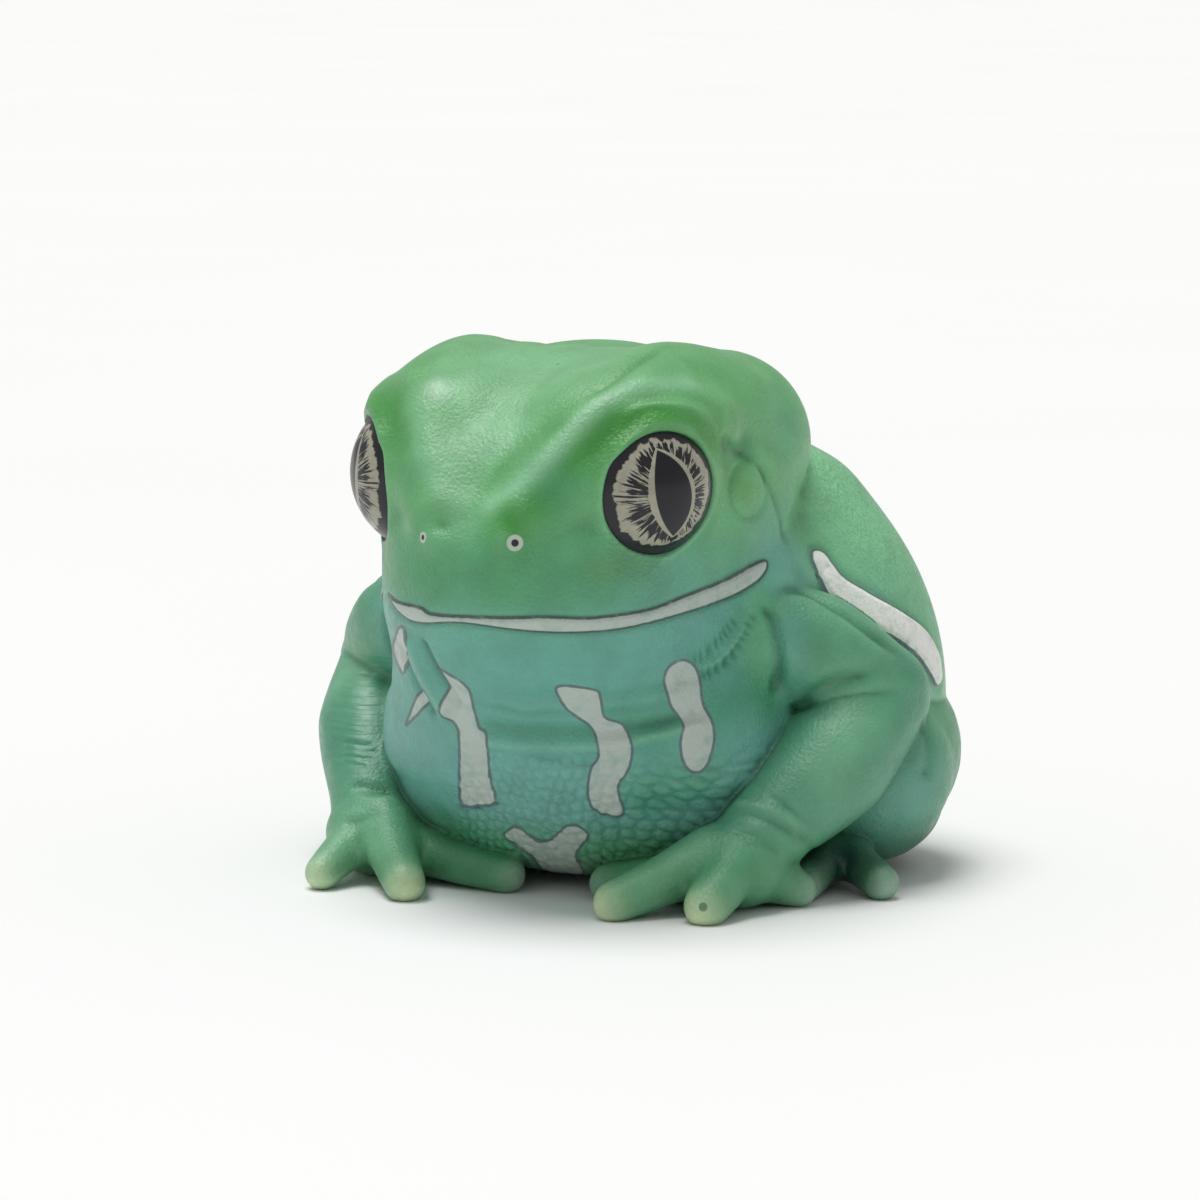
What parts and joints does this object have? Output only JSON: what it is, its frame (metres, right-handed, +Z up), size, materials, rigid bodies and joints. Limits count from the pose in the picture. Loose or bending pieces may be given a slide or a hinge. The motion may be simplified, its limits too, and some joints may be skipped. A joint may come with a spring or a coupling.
{
  "type": "toy frog figurine",
  "caption": "Moulded and painted plastic figurine of a squat tree frog sitting on its bent legs, with glossy domed eyes and pale outlined markings.",
  "frame": {"origin": "on the floor under the middle of the figure's bounding box", "axes": "+Z up, -Y the way the snout points, +X the frog's own left"},
  "size_m": [0.0842, 0.0805, 0.0683],
  "materials": {
    "skin": "satin painted green with a fine leathery grain",
    "throat": "satin painted blue-green",
    "eye": "glossy clear dome over a printed iris"
  },
  "bodies": {
    "root": {"head": "skin", "lower_jaw": "throat", "torso": "skin", "eye_left": "eye", "eye_right": "eye", "upper_arm_left": "skin", "upper_arm_right": "skin", "forearm_left": "skin", "forearm_right": "skin", "hand_left": "skin", "hand_right": "skin", "thigh_left": "skin", "thigh_right": "skin", "shank_left": "skin", "shank_right": "skin", "foot_left": "skin", "foot_right": "skin"}
  },
  "joints": []
}
